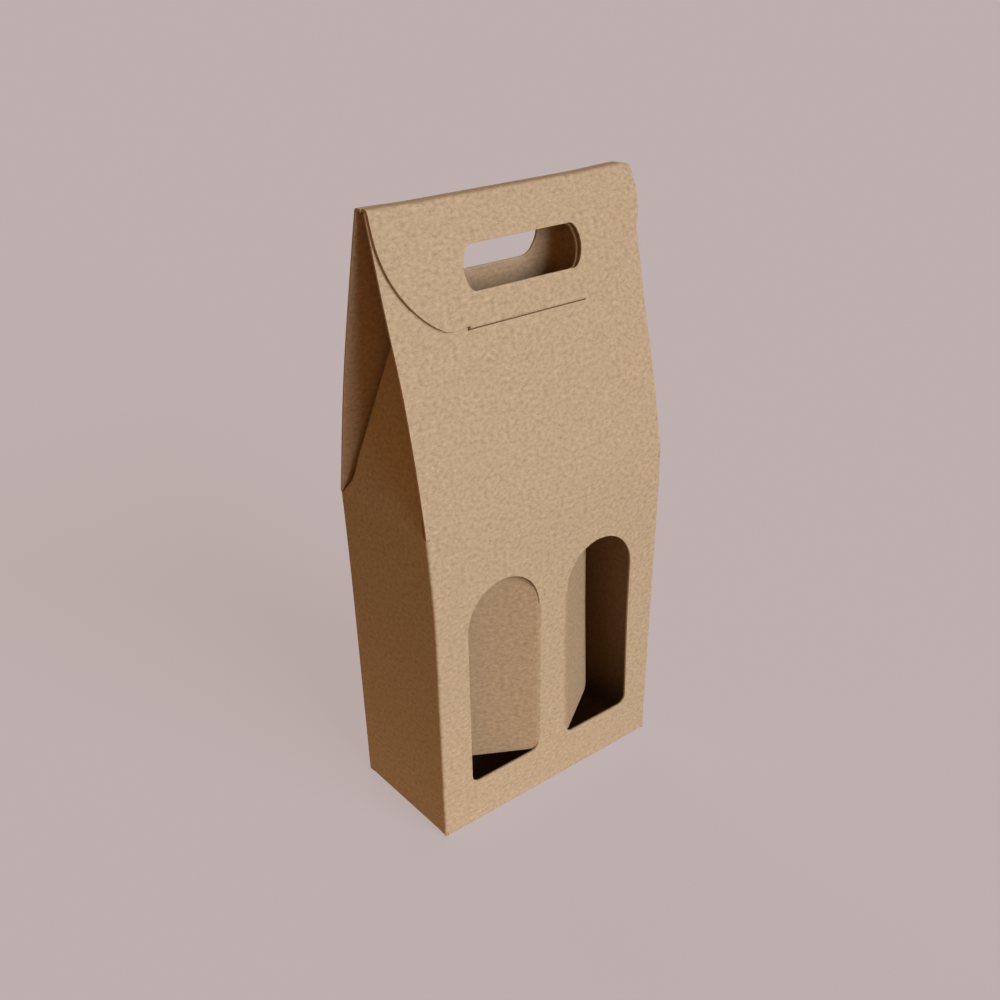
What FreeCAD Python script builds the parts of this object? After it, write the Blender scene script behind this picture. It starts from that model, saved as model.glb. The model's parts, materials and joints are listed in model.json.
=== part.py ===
import FreeCAD, Part
import math
import os

# Two-bottle carrier box, folded from one die-cut sheet of kraft board. Millimetres and degrees.
# X is the width, Y the depth with the front face towards -Y, Z is up, origin at the centre of the base.

# Box and board
BOX_WIDTH = 180.0
BOX_DEPTH = 90.0
BOX_HEIGHT = 385.0
BOARD = 1.5
SHOULDER_Z = 215.0
RIDGE_DEPTH = 8.6
SHOULDER_RADIUS = 120.0
CREASE_RADIUS = 1.8

# Clearances
HINGE_GAP = 0.2
CUT_GAP = 0.55
FLAP_GAP = 0.4
FLAP_SIDE_GAP = 0.4
SLIT_GAP = 0.35
SLIT_END_GAP = 0.8

# Side dust flaps, folded in from the side panels between the two slopes
DUST_TILT = 15.0
DUST_LENGTH = 146.0
DUST_FOOT_HALF = 41.6
DUST_NECK_HALF = 34.5
DUST_NECK_Z = 23.0
DUST_FLARE_SAG = 2.0
DUST_TIP_HALF = 6.8
DUST_TIP_RADIUS = 5.0

# Arched windows and the flaps that are cut from them
WINDOW_INNER_X = 11.5
WINDOW_OUTER_X = 67.0
WINDOW_BOTTOM_Z = 33.0
WINDOW_TOP_Z = 174.0
WINDOW_CORNER_RADIUS = 6.0
LEFT_FLAP_ANGLE = 30.0
RIGHT_FLAP_ANGLE = 35.0

# Handle flap, measured along the front slope from its crease at the ridge
FLAP_LENGTH = 67.8
FLAP_SIDE_LENGTH = 10.0
FLAP_SIDE_RADIUS = 65.0
FLAP_CORNER_RADIUS = 5.0

# Tongue at the flap's lower edge, curved about the flap's crease, and its slit
TONGUE_HALF_WIDTH = 42.0
TONGUE_STEP = 1.1
TONGUE_DEPTH = 11.0
TONGUE_END_RADIUS = 5.0

# Hand hole through the flap and the front slope, and the smaller one in the back slope
HOLE_TOP = 27.0
HOLE_HEIGHT = 24.2
HOLE_EDGE_HALF = 36.5
HOLE_MIDDLE_HALF = 41.0
HOLE_CORNER_RADIUS = 2.6
BACK_HOLE_TOP = 22.0
BACK_HOLE_HEIGHT = 24.0
BACK_HOLE_EDGE_HALF = 29.0
BACK_HOLE_MIDDLE_HALF = 34.0
BACK_HOLE_CORNER_RADIUS = 4.5

# Bottom flaps: front and back panels meet at a locked seam, side flaps lie on top of them
SEAM_Y = 6.0
SEAM_WIDTH = 0.8
LOCK_HALF_WIDTH = 34.0
LOCK_TAPER = 8.0
LOCK_DEPTH = 14.0
SIDE_FOOT_LENGTH = 46.0
SIDE_FOOT_TAPER = 12.0

# Glued seam inside the back right corner
GLUE_TAB_WIDTH = 18.0
GLUE_TAB_MARGIN = 8.0

# Values that follow from those above
HALF_WIDTH = BOX_WIDTH / 2
HALF_DEPTH = BOX_DEPTH / 2
HALF_BOARD = BOARD / 2
HINGE_Y = HALF_BOARD - RIDGE_DEPTH / 2
HINGE_Z = BOX_HEIGHT - HALF_BOARD
WINDOW_HINGE_Y = HALF_BOARD - HALF_DEPTH
HINGE_START = HALF_BOARD + HINGE_GAP
FLAP_HALF_WIDTH = HALF_WIDTH - FLAP_SIDE_GAP
TONGUE_RADIUS = FLAP_LENGTH + TONGUE_STEP
CUT_DEPTH = 3 * BOARD
ARCH_RADIUS = (WINDOW_OUTER_X - WINDOW_INNER_X) / 2
ARCH_Z = WINDOW_TOP_Z - ARCH_RADIUS
REACH = BOX_WIDTH + BOX_DEPTH + BOX_HEIGHT
NEAR = 0.01
EDGE_ANGLE = math.radians(15)
ALONG_X = FreeCAD.Vector(1, 0, 0)
ALONG_Y = FreeCAD.Vector(0, 1, 0)
ALONG_Z = FreeCAD.Vector(0, 0, 1)


def front_slope_angle():
    """Lean of the front slope, so that the handle flap lies parallel to it with the flap gap."""
    rise = HINGE_Z - SHOULDER_Z
    run = HINGE_Y + HALF_DEPTH
    return math.atan2(run, rise) + math.asin((HALF_BOARD + FLAP_GAP) / math.hypot(run, rise))


FRONT_LEAN = front_slope_angle()
BACK_LEAN = math.atan2(HALF_DEPTH - RIDGE_DEPTH / 2, BOX_HEIGHT - SHOULDER_Z)


def polar(radius, angle):
    return radius * math.sin(angle), radius * math.cos(angle)


def at(x, y, z):
    return FreeCAD.Vector(x, y, z)


def line(start, end):
    return Part.LineSegment(start, end).toShape()


def arc(start, middle, end):
    return Part.Arc(start, middle, end).toShape()


def sagged(start, end, sag, axis):
    """Arc that stands off the straight line between its ends, in the plane across the axis."""
    across = axis.cross(end - start).normalize()
    return arc(start, (start + end) * 0.5 + across * sag, end)


def prism(edges, direction):
    """Solid swept from a closed outline."""
    return Part.Face(Part.Wire(edges)).extrude(direction)


def polygon_prism(points, direction):
    return Part.Face(Part.makePolygon(points + points[:1])).extrude(direction)


def box(x, y, z):
    """Box from pairs of limits."""
    corner = at(x[0], y[0], z[0])
    return Part.makeBox(x[1] - x[0], y[1] - y[0], z[1] - z[0], corner)


def mirrored(shape):
    return shape.mirror(at(0, 0, 0), at(1, 0, 0))


def fillet_along(shape, radius, axis, wanted):
    """Round the edges that run nearly along an axis and start at a point that passes the test."""
    def chosen(edge):
        ends = [v.Point for v in edge.Vertexes]
        if len(ends) < 2:
            return False
        run = (ends[1] - ends[0]).normalize()
        return abs(run.dot(axis)) > math.cos(EDGE_ANGLE) and wanted(ends[0])
    return shape.makeFillet(radius, [e for e in shape.Edges if chosen(e)])


# Front panel: wall, soft shoulder and slope in one section


def shoulder_point(radius, angle):
    """Point on the soft front shoulder, at an angle turned from the upright wall."""
    centre_z = SHOULDER_Z - SHOULDER_RADIUS * math.tan(FRONT_LEAN / 2)
    y = SHOULDER_RADIUS - HALF_DEPTH - radius * math.cos(angle)
    return y, centre_z + radius * math.sin(angle)


def front_panel():
    x = -HALF_WIDTH
    top_z = BOX_HEIGHT - BOARD - FLAP_GAP
    outer_y = (top_z - SHOULDER_Z) * math.tan(FRONT_LEAN) - HALF_DEPTH
    inner = SHOULDER_RADIUS - BOARD
    bend_out = [at(x, *shoulder_point(SHOULDER_RADIUS, FRONT_LEAN * k / 2)) for k in range(3)]
    bend_in = [at(x, *shoulder_point(inner, FRONT_LEAN * k / 2)) for k in range(3)]
    top_out = at(x, outer_y, top_z)
    top_in = at(x, outer_y + BOARD * math.cos(FRONT_LEAN), top_z - BOARD * math.sin(FRONT_LEAN))
    foot_out = at(x, -HALF_DEPTH, 0)
    foot_in = at(x, BOARD - HALF_DEPTH, 0)
    edges = [line(foot_out, bend_out[0]), arc(*bend_out), line(bend_out[2], top_out),
             line(top_out, top_in), line(top_in, bend_in[2]), arc(*reversed(bend_in)),
             line(bend_in[0], foot_in), line(foot_in, foot_out)]
    return prism(edges, at(BOX_WIDTH, 0, 0))


# Back panel and the ridge strip that runs on from it to the flap's crease


def back_panel():
    x = -HALF_WIDTH
    inner_z = SHOULDER_Z - BOARD * math.tan(BACK_LEAN / 2)
    ridge_inner_z = BOX_HEIGHT - BOARD
    ridge_inner_y = HALF_DEPTH - BOARD - (ridge_inner_z - inner_z) * math.tan(BACK_LEAN)
    foot_out = at(x, HALF_DEPTH, 0)
    shoulder_out = at(x, HALF_DEPTH, SHOULDER_Z)
    ridge_out = at(x, RIDGE_DEPTH / 2, BOX_HEIGHT)
    round_top = at(x, HINGE_Y, BOX_HEIGHT)
    round_middle = at(x, HINGE_Y - HALF_BOARD, HINGE_Z)
    round_end = at(x, HINGE_Y, ridge_inner_z)
    ridge_in = at(x, ridge_inner_y, ridge_inner_z)
    shoulder_in = at(x, HALF_DEPTH - BOARD, inner_z)
    foot_in = at(x, HALF_DEPTH - BOARD, 0)
    edges = [line(foot_out, shoulder_out), line(shoulder_out, ridge_out), line(ridge_out, round_top),
             arc(round_top, round_middle, round_end), line(round_end, ridge_in),
             line(ridge_in, shoulder_in), line(shoulder_in, foot_in), line(foot_in, foot_out)]
    panel = prism(edges, at(BOX_WIDTH, 0, 0))
    creases = [ridge_out, shoulder_out]

    def on_crease(p):
        return any(math.hypot(p.y - c.y, p.z - c.z) < NEAR for c in creases)
    return fillet_along(panel, CREASE_RADIUS, ALONG_X, on_crease)


# Side panels with their dust flaps


def side_outline():
    """Side panel and dust flap seen from the side, within the front and back panels."""
    foot = at(0, -HALF_DEPTH, 0)
    bend = [at(0, *shoulder_point(SHOULDER_RADIUS, FRONT_LEAN * k / 4)) for k in range(3)]
    lean = math.cos(math.radians(DUST_TILT))
    tip_z = SHOULDER_Z + DUST_LENGTH * lean
    neck_z = SHOULDER_Z + DUST_NECK_Z
    front_foot = at(0, -DUST_FOOT_HALF, bend[2].z)
    front_neck = at(0, -DUST_NECK_HALF, neck_z)
    front_tip = at(0, -DUST_TIP_HALF, tip_z)
    back_tip = at(0, DUST_TIP_HALF, tip_z)
    back_neck = at(0, DUST_NECK_HALF, neck_z)
    back_foot = at(0, DUST_FOOT_HALF, SHOULDER_Z)
    corner = at(0, HALF_DEPTH, SHOULDER_Z)
    base = at(0, HALF_DEPTH, 0)
    edges = [line(foot, bend[0]), arc(*bend), line(bend[2], front_foot),
             sagged(front_foot, front_neck, -DUST_FLARE_SAG, ALONG_X), line(front_neck, front_tip),
             line(front_tip, back_tip), line(back_tip, back_neck),
             sagged(back_neck, back_foot, -DUST_FLARE_SAG, ALONG_X),
             line(back_foot, corner), line(corner, base), line(base, foot)]
    outline = prism(edges, at(HALF_WIDTH, 0, 0))
    return fillet_along(outline, DUST_TIP_RADIUS, ALONG_X, lambda p: abs(p.z - tip_z) < NEAR)


def side_panel():
    """Right side panel, creased at the shoulder into its dust flap."""
    tilt = math.radians(DUST_TILT)
    inner_z = SHOULDER_Z - BOARD * math.tan(tilt / 2)
    length = DUST_LENGTH + BOARD
    run, rise = polar(length, tilt)
    y = -HALF_DEPTH
    points = [at(HALF_WIDTH, y, 0), at(HALF_WIDTH, y, SHOULDER_Z),
              at(HALF_WIDTH - run, y, SHOULDER_Z + rise),
              at(HALF_WIDTH - run - BOARD * math.cos(tilt), y,
                 SHOULDER_Z + rise - BOARD * math.sin(tilt)),
              at(HALF_WIDTH - BOARD, y, inner_z), at(HALF_WIDTH - BOARD, y, 0)]
    return polygon_prism(points, at(0, BOX_DEPTH, 0)).common(side_outline())


# Bottom


def lock_seam():
    """Gap between the front and back bottom flaps, with a tab in the middle."""
    half = SEAM_WIDTH / 2
    route = [(-HALF_WIDTH, SEAM_Y), (-LOCK_HALF_WIDTH - LOCK_TAPER, SEAM_Y),
             (-LOCK_HALF_WIDTH, SEAM_Y + LOCK_DEPTH), (LOCK_HALF_WIDTH, SEAM_Y + LOCK_DEPTH),
             (LOCK_HALF_WIDTH + LOCK_TAPER, SEAM_Y), (HALF_WIDTH, SEAM_Y)]
    lower = [at(x, y - half, 0) for x, y in route]
    upper = [at(x, y + half, 0) for x, y in reversed(route)]
    return polygon_prism(lower + upper, at(0, 0, BOARD))


def side_foot():
    """Right bottom side flap, lying on the two that meet at the seam."""
    outer = HALF_WIDTH - HALF_BOARD
    inner = HALF_WIDTH - SIDE_FOOT_LENGTH
    wide = HALF_DEPTH - HALF_BOARD
    narrow = wide - SIDE_FOOT_TAPER
    points = [at(x, y, BOARD) for x, y in
              ((outer, -wide), (outer, wide), (inner, narrow), (inner, -narrow))]
    return polygon_prism(points, at(0, 0, BOARD))


def bottom():
    inside_x = (HALF_BOARD - HALF_WIDTH, HALF_WIDTH - HALF_BOARD)
    inside_y = (HALF_BOARD - HALF_DEPTH, HALF_DEPTH - HALF_BOARD)
    plate = box(inside_x, inside_y, (0, BOARD)).cut(lock_seam())
    return [plate, side_foot(), mirrored(side_foot())]


def glue_tab():
    """Tab of the side panel, glued to the inside of the back panel."""
    right = HALF_WIDTH - HALF_BOARD
    left = HALF_WIDTH - BOARD - GLUE_TAB_WIDTH
    low = GLUE_TAB_MARGIN
    high = SHOULDER_Z - GLUE_TAB_MARGIN
    y = HALF_DEPTH - 2 * BOARD
    points = [at(right, y, low), at(left, y, low + GLUE_TAB_MARGIN),
              at(left, y, high - GLUE_TAB_MARGIN), at(right, y, high)]
    return polygon_prism(points, at(0, BOARD + HALF_BOARD, 0))


# Windows and their flaps


def window_outline(inset):
    """Arched window on the right half, drawn in by the inset, as a prism through the front wall."""
    y = -HALF_DEPTH - BOARD
    left = WINDOW_INNER_X + inset
    right = WINDOW_OUTER_X - inset
    low = WINDOW_BOTTOM_Z + inset
    middle = (left + right) / 2
    top = ARCH_Z + (right - left) / 2
    radius = WINDOW_CORNER_RADIUS - inset
    edges = [line(at(right, y, low), at(right, y, ARCH_Z)),
             arc(at(right, y, ARCH_Z), at(middle, y, top), at(left, y, ARCH_Z)),
             line(at(left, y, ARCH_Z), at(left, y, low)),
             line(at(left, y, low), at(right, y, low))]
    outline = prism(edges, at(0, CUT_DEPTH, 0))
    return fillet_along(outline, radius, ALONG_Y, lambda p: abs(p.z - low) < NEAR)


def window_bead():
    """Rounded fold edge of the front panel, along the line where a window flap turns."""
    low = WINDOW_BOTTOM_Z + WINDOW_CORNER_RADIUS
    start = at(WINDOW_INNER_X, WINDOW_HINGE_Y, low)
    return Part.makeCylinder(HALF_BOARD, ARCH_Z - low, start)


def window_flap(angle):
    """Right window flap, turned into the box from the window that it closes."""
    wall = box((WINDOW_INNER_X + HINGE_START, WINDOW_OUTER_X), (-HALF_DEPTH, BOARD - HALF_DEPTH),
               (WINDOW_BOTTOM_Z, WINDOW_TOP_Z))
    flap = wall.common(window_outline(CUT_GAP))
    flap.rotate(at(WINDOW_INNER_X, WINDOW_HINGE_Y, 0), at(0, 0, 1), angle)
    return flap


# Hand holes: drawn flat at the crease, with Y down the slope and Z inward, then laid on the slope


def barrel(top, height, edge_half, middle_half, radius):
    """Hole with straight long edges and bulged ends."""
    low = top + height
    bulge = middle_half - edge_half
    top_left = at(-edge_half, top, -CUT_DEPTH)
    top_right = at(edge_half, top, -CUT_DEPTH)
    low_right = at(edge_half, low, -CUT_DEPTH)
    low_left = at(-edge_half, low, -CUT_DEPTH)
    edges = [line(top_left, top_right), sagged(top_right, low_right, -bulge, ALONG_Z),
             line(low_right, low_left), sagged(low_left, top_left, -bulge, ALONG_Z)]
    plug = prism(edges, at(0, 0, 2 * CUT_DEPTH))
    return fillet_along(plug, radius, ALONG_Z, lambda p: True)


def laid(shape, down, inward, origin):
    """Move a flat drawing so that its Y runs down, its Z inward and its X across."""
    across = down.cross(inward)
    place = FreeCAD.Matrix(across.x, down.x, inward.x, origin.x,
                           across.y, down.y, inward.y, origin.y,
                           across.z, down.z, inward.z, origin.z, 0, 0, 0, 1)
    return shape.transformGeometry(place)


def on_front_slope(shape):
    """Lay a flat drawing on the handle flap's middle plane, from its crease down."""
    down = at(0, -math.sin(FRONT_LEAN), -math.cos(FRONT_LEAN))
    inward = at(0, math.cos(FRONT_LEAN), -math.sin(FRONT_LEAN))
    return laid(shape, down, inward, at(0, HINGE_Y, HINGE_Z))


def on_back_slope(shape):
    """Lay a flat drawing on the back slope, from the rear crease down."""
    down = at(0, math.sin(BACK_LEAN), -math.cos(BACK_LEAN))
    inward = at(0, -math.cos(BACK_LEAN), -math.sin(BACK_LEAN))
    return laid(shape, down, inward, at(0, RIDGE_DEPTH / 2, BOX_HEIGHT))


def front_hole():
    return on_front_slope(barrel(HOLE_TOP, HOLE_HEIGHT, HOLE_EDGE_HALF, HOLE_MIDDLE_HALF,
                                 HOLE_CORNER_RADIUS))


def back_hole():
    return on_back_slope(barrel(BACK_HOLE_TOP, BACK_HOLE_HEIGHT, BACK_HOLE_EDGE_HALF,
                                BACK_HOLE_MIDDLE_HALF, BACK_HOLE_CORNER_RADIUS))


# Tongue and slit: ring sectors about the flap's crease


def ring_sector(half_width, low_radius, high_radius, start_depth, end_depth):
    """Part of a ring about the crease, from one depth behind the flap's middle plane to another."""
    def on_ring(radius, depth):
        angle = math.asin(depth / TONGUE_RADIUS)
        return at(-half_width, radius * math.cos(angle), radius * math.sin(angle))
    depths = (start_depth, (start_depth + end_depth) / 2, end_depth)
    inside = [on_ring(low_radius, depth) for depth in depths]
    outside = [on_ring(high_radius, depth) for depth in reversed(depths)]
    edges = [arc(*inside), line(inside[2], outside[0]), arc(*outside), line(outside[2], inside[0])]
    return prism(edges, at(2 * half_width, 0, 0))


def tongue():
    sector = ring_sector(TONGUE_HALF_WIDTH, TONGUE_RADIUS - HALF_BOARD, TONGUE_RADIUS + HALF_BOARD,
                         0, TONGUE_DEPTH)
    return fillet_along(sector, TONGUE_END_RADIUS, ALONG_Y, lambda p: p.z > TONGUE_DEPTH / 2)


def slit():
    low = TONGUE_RADIUS - HALF_BOARD - SLIT_GAP
    high = TONGUE_RADIUS + HALF_BOARD + SLIT_GAP
    return on_front_slope(ring_sector(TONGUE_HALF_WIDTH + SLIT_END_GAP, low, high, HALF_BOARD,
                                      HALF_BOARD + FLAP_GAP + 2 * BOARD))


# Handle flap


def flap_outline():
    """Half of the flap's outline, from the crease down the side to the middle of the lower edge."""
    side = FLAP_HALF_WIDTH
    centre_x = side - FLAP_SIDE_RADIUS
    swing = math.asin((FLAP_LENGTH - FLAP_SIDE_LENGTH) / FLAP_SIDE_RADIUS)
    z = -HALF_BOARD

    def on_arc(angle):
        return at(centre_x + FLAP_SIDE_RADIUS * math.cos(angle),
                  FLAP_SIDE_LENGTH + FLAP_SIDE_RADIUS * math.sin(angle), z)
    start = at(side, HINGE_START, z)
    foot = at(0, FLAP_LENGTH, z)
    top = at(0, HINGE_START, z)
    return [line(top, start), line(start, on_arc(0)), arc(on_arc(0), on_arc(swing / 2), on_arc(swing)),
            line(on_arc(swing), foot), line(foot, top)]


def handle_flap():
    half = prism(flap_outline(), at(0, 0, BOARD))
    half = fillet_along(half, FLAP_CORNER_RADIUS, ALONG_Z,
                        lambda p: abs(p.y - FLAP_LENGTH) < NEAR and p.x > TONGUE_HALF_WIDTH)
    root = box((-TONGUE_HALF_WIDTH, TONGUE_HALF_WIDTH), (FLAP_LENGTH - BOARD, TONGUE_RADIUS + HALF_BOARD),
               (-HALF_BOARD, HALF_BOARD))
    flat = half.fuse([mirrored(half), root, tongue()]).removeSplitter()
    return on_front_slope(flat).cut(front_hole())


# Whole box


def corner_waste():
    """What the rounded folds at the upright corners and around the base leave off."""
    block = box((-HALF_WIDTH, HALF_WIDTH), (-HALF_DEPTH, HALF_DEPTH), (0, REACH))
    rounded = block.makeFillet(CREASE_RADIUS, block.Edges)
    return box((-REACH, REACH), (-REACH, REACH), (-BOARD, SHOULDER_Z)).cut(rounded)


def carton_body():
    pieces = [back_panel(), side_panel(), mirrored(side_panel()), glue_tab()] + bottom()
    body = front_panel().fuse(pieces)
    windows = [window_outline(0), mirrored(window_outline(0))]
    body = body.cut(windows + [front_hole(), back_hole(), slit(), corner_waste()])
    return body.fuse([window_bead(), mirrored(window_bead())]).removeSplitter()


def write(name, shape):
    solids = shape.Solids
    solid = solids[0] if len(solids) == 1 else Part.makeCompound(solids)
    solid.exportStep("parts/" + name + ".step")


os.makedirs("parts", exist_ok=True)
write("carton_body", carton_body())
write("handle_flap", handle_flap())
write("window_flap_left", mirrored(window_flap(LEFT_FLAP_ANGLE)))
write("window_flap_right", window_flap(RIGHT_FLAP_ANGLE))
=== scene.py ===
import json
import math

import bpy
import numpy as np
from mathutils import Matrix, Vector
from mathutils.geometry import delaunay_2d_cdt

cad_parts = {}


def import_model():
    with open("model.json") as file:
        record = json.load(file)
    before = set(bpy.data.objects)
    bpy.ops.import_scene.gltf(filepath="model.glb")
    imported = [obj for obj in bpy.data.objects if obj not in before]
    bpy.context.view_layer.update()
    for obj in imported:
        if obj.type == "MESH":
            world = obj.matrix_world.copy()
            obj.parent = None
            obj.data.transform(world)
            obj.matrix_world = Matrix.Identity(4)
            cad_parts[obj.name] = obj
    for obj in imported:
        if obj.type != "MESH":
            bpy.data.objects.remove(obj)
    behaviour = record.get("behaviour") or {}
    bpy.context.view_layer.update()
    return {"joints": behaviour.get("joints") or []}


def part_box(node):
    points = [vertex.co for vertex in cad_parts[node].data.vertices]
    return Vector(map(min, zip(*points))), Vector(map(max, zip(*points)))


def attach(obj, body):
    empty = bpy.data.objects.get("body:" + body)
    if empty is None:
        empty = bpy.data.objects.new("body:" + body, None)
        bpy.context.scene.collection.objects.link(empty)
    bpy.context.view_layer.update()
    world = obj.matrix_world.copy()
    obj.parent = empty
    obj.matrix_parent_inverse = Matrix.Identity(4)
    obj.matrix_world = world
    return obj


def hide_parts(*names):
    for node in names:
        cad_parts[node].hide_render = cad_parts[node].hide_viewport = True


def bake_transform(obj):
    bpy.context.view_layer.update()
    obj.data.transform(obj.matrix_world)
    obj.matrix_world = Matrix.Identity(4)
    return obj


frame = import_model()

# Box and board, in metres: the outside from the frame, the rest as the sheet is cut and folded
BODY_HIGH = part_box("carton_body")[1]
HALF_WIDTH = BODY_HIGH.x
HALF_DEPTH = BODY_HIGH.y
HEIGHT = BODY_HIGH.z
BOARD = 0.0015
HALF_BOARD = BOARD / 2
SHOULDER_Z = 0.215
RIDGE_DEPTH = 0.0086
CREASE_RADIUS = 0.00105
SHOULDER_RADIUS = 0.12
FLAP_GAP = 0.0004
JOINTS = {joint["name"]: joint for joint in frame["joints"]}
HINGE_Y, HINGE_Z = JOINTS["handle_flap_hinge"]["pos_m"][1:]

# Slopes
FRONT_RUN = HINGE_Y + HALF_DEPTH
FRONT_RISE = HINGE_Z - SHOULDER_Z
FRONT_LEAN = (math.atan2(FRONT_RUN, FRONT_RISE)
              + math.asin((HALF_BOARD + FLAP_GAP) / math.hypot(FRONT_RUN, FRONT_RISE)))
BACK_LEAN = math.atan2(HALF_DEPTH - RIDGE_DEPTH / 2, HEIGHT - SHOULDER_Z)

# Side dust flaps
DUST_LEAN = math.radians(15.0)
DUST_LENGTH = 0.146
DUST_FOOT_HALF = 0.0421
DUST_NECK_HALF = 0.0345
DUST_NECK = 0.0238
DUST_FLARE_SAG = 0.002
DUST_TIP_HALF = 0.0068
DUST_TIP_CORNER = 0.004
DUST_BOW_FADE = 0.012

# Windows and their flaps
WINDOW_INNER_X = 0.0115
WINDOW_OUTER_X = 0.067
WINDOW_BOTTOM_Z = 0.033
WINDOW_TOP_Z = 0.174
WINDOW_CORNER = 0.006
WINDOW_SEAM_X = 0.010
WINDOW_CUT_GAP = 0.0003
WINDOW_FOLD_RADIUS = 0.0042
LEFT_WINDOW_ANGLE = math.radians(30.0)
RIGHT_WINDOW_ANGLE = math.radians(35.0)
RIGHT_WINDOW_TWIST = 0.055

# Handle flap, along the front slope from its crease
FLAP_HALF_WIDTH = 0.0896
FLAP_LENGTH = 0.0678
FLAP_SIDE_LENGTH = 0.010
FLAP_SIDE_RADIUS = 0.065
FLAP_CORNER = 0.006
FLAP_CREASE_RADIUS = 0.0018
TONGUE_HALF = 0.042
TONGUE_RADIUS = 0.0689
TONGUE_DEPTH = 0.011
TONGUE_CORNER = 0.004
TONGUE_BEND = 0.03
SLIT_GAP = 0.00035
SLIT_END_GAP = 0.0008

# Hand holes
HOLE_TOP = 0.027
HOLE_HEIGHT = 0.0242
HOLE_EDGE_HALF = 0.0365
HOLE_BULGE = 0.0045
HOLE_CORNER = 0.0026
BACK_HOLE_TOP = 0.022
BACK_HOLE_HEIGHT = 0.024
BACK_HOLE_EDGE_HALF = 0.029
BACK_HOLE_BULGE = 0.005
BACK_HOLE_CORNER = 0.0045

# Bottom flaps and glued seam
SEAM_Y = 0.006
SEAM_HALF_GAP = 0.00008
LOCK_HALF = 0.034
LOCK_TAPER = 0.008
LOCK_DEPTH = 0.014
MAJOR_FOOT_HALF = 0.0838
SIDE_FOOT_LENGTH = 0.046
SIDE_FOOT_TAPER = 0.012
SIDE_FOOT_BEND = 0.004
SIDE_FOOT_GAP = 0.001
FOOT_SHOULDER = 0.003
CORNER_REACH = 0.0012
GLUE_TAB_WIDTH = 0.018
GLUE_TAB_MARGIN = 0.008

# Net of triangles on the flat sheet, and the rounding of its cut edges
GRID = 0.006
RIM = 0.00016
RIM_TURN = 0.3
RELIEF = 0.00018
NEAR = 1e-6
NET_CLEAR = 0.001
SHORTEST_EDGE = 0.0003
SLIVER = 0.000004
MERGED = 1e-7
MITRE_LIMIT = 0.8
BESIDE_FOLD = 0.0007
FOLD_REACH = 0.0009
FOLD_STEP = math.radians(15)
CORNER_STEPS = 6
CORNER_LIMIT = 0.9
ARCH_STEPS = 14
FLAP_SIDE_STEPS = 24

# Soft bends of the board. A swell is a depth, a height and a width, a drift is a depth, a start and an end
BOW_FADE = 1.5
LEAST_DEPTH = 0.004
LEFT_BULGE = (0.0038, 0.212, 0.032)
LEFT_HOLLOW = (-0.0016, 0.297, 0.030)
RIGHT_WALL_DRIFT = (-0.0007, 0.05, 0.22)
RIGHT_SLOPE_DRIFT = (-0.0018, 0.22, 0.27)
RIGHT_TOP_DRIFT = (0.0012, 0.35, HINGE_Z)
BACK_WALL_DRIFT = (0.0012, 0, 0.2)
BACK_BULGE = (0.0042, 0.290, 0.080)
FOOT_SPREAD = 0.008
FOOT_SPREAD_Z = 0.2
TOP_SLANT = 0.0016
TOP_SLANT_Z = (0.30, HINGE_Z)
TOP_SLANT_X = (-0.085, -0.035)
RIDGE_SAG = 0.0013
RIDGE_SAG_Z = (0.368, HINGE_Z)
LEFT_SAG_DRIFT = (-0.0007, 0.060, HALF_WIDTH)
RIGHT_SAG_DRIFT = (-0.0009, 0.045, 0.085)
RIDGE_END_DROP = 0.0014
RIDGE_END_X = (0.084, HALF_WIDTH)
FLAP_RISE_LEFT = 0.0005
FLAP_RISE_RIGHT = 0.0030
FLAP_RISE_GROWTH = 2.2
FLAP_RISE_ROUNDNESS = 0.8

# Small shifts that fit the photograph: each holds in full between the two middle places
WINDOW_SHIFT = 0.0019
WINDOW_SHIFT_X = (-0.005, 0.0115, 0.067, 0.088)
WINDOW_SHIFT_Z = (0, 0.03, 0.03, 0.12)
HANDLE_SHIFT = (0.0017, 0.0004, 0.0015)
HANDLE_SHIFT_BACK = 0.0008
HANDLE_SHIFT_X = (-0.062, -0.038, 0.060, 0.085)
HANDLE_SHIFT_Z = (0.29, 0.315, 0.36, 0.375)

# Camera, floor and light
IMAGE_SIZE = 1000.0
SENSOR_WIDTH = 36.0
CAMERA_PLACE = (-0.3811, -0.4595, 0.4830)
CAMERA_ANGLES = (35.00, 30.51, -3.12)
CAMERA_FOCAL = 1050.3
CAMERA_CENTRE = (432.9, 592.9)
BACKGROUND = (0.509, 0.429, 0.423)
FILL = (0.18, 0.090, 0.032)
FLOOR_HALF = 60.0
FLOOR_Z = -0.00005
FLOOR_COLOUR = (0.82, 0.81, 0.94)
FLOOR_BOUNCE = (0.30, 0.20, 0.13)
FLOOR_GLOW = 0.80
FLOOR_GLOW_COLOUR = (0.539, 0.457, 0.449)
NEAR_LIGHT = (0.26, 0.20, 0.12)
NEAR_LIGHT_PLACE = (-0.18, 0.0, 0.0)
NEAR_LIGHT_REACH = (0.09, 0.30)

# Kraft liner: each layer's noise (scale, detail, stretch), and the levels that it is spread between
CLOUDS = ((90, 3, (1, 1, 1)), (0.3, 0.7, 0.975, 1.025))
MOTTLE = ((330, 5, (1, 1.35, 1)), (0.3, 0.7, 0.75, 1.25))
FIBRES = ((1500, 2, (0.22, 1.6, 1)), (0.25, 0.75, 0.92, 1.08))
CROSS_FIBRES = ((1300, 2, (1.4, 0.3, 1)), (0.25, 0.75, 0.94, 1.06))
FLECKS = ((900, 1, (0.45, 1.3, 1)), (0.66, 0.74, 1.0, 0.84))
WARM_LEVELS = (0.35, 0.65, 0.0, 1.0)
WORN_LEVELS = (0.35, 0.7, 0.2, 1.0)
FOLD_WEAR = 0.06
MOTTLE_HEIGHT = 0.6
CROSS_FIBRE_HEIGHT = 0.5
LINER_BUMP = (0.00005, 0.35)
ROUGHNESS = 0.86
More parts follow.
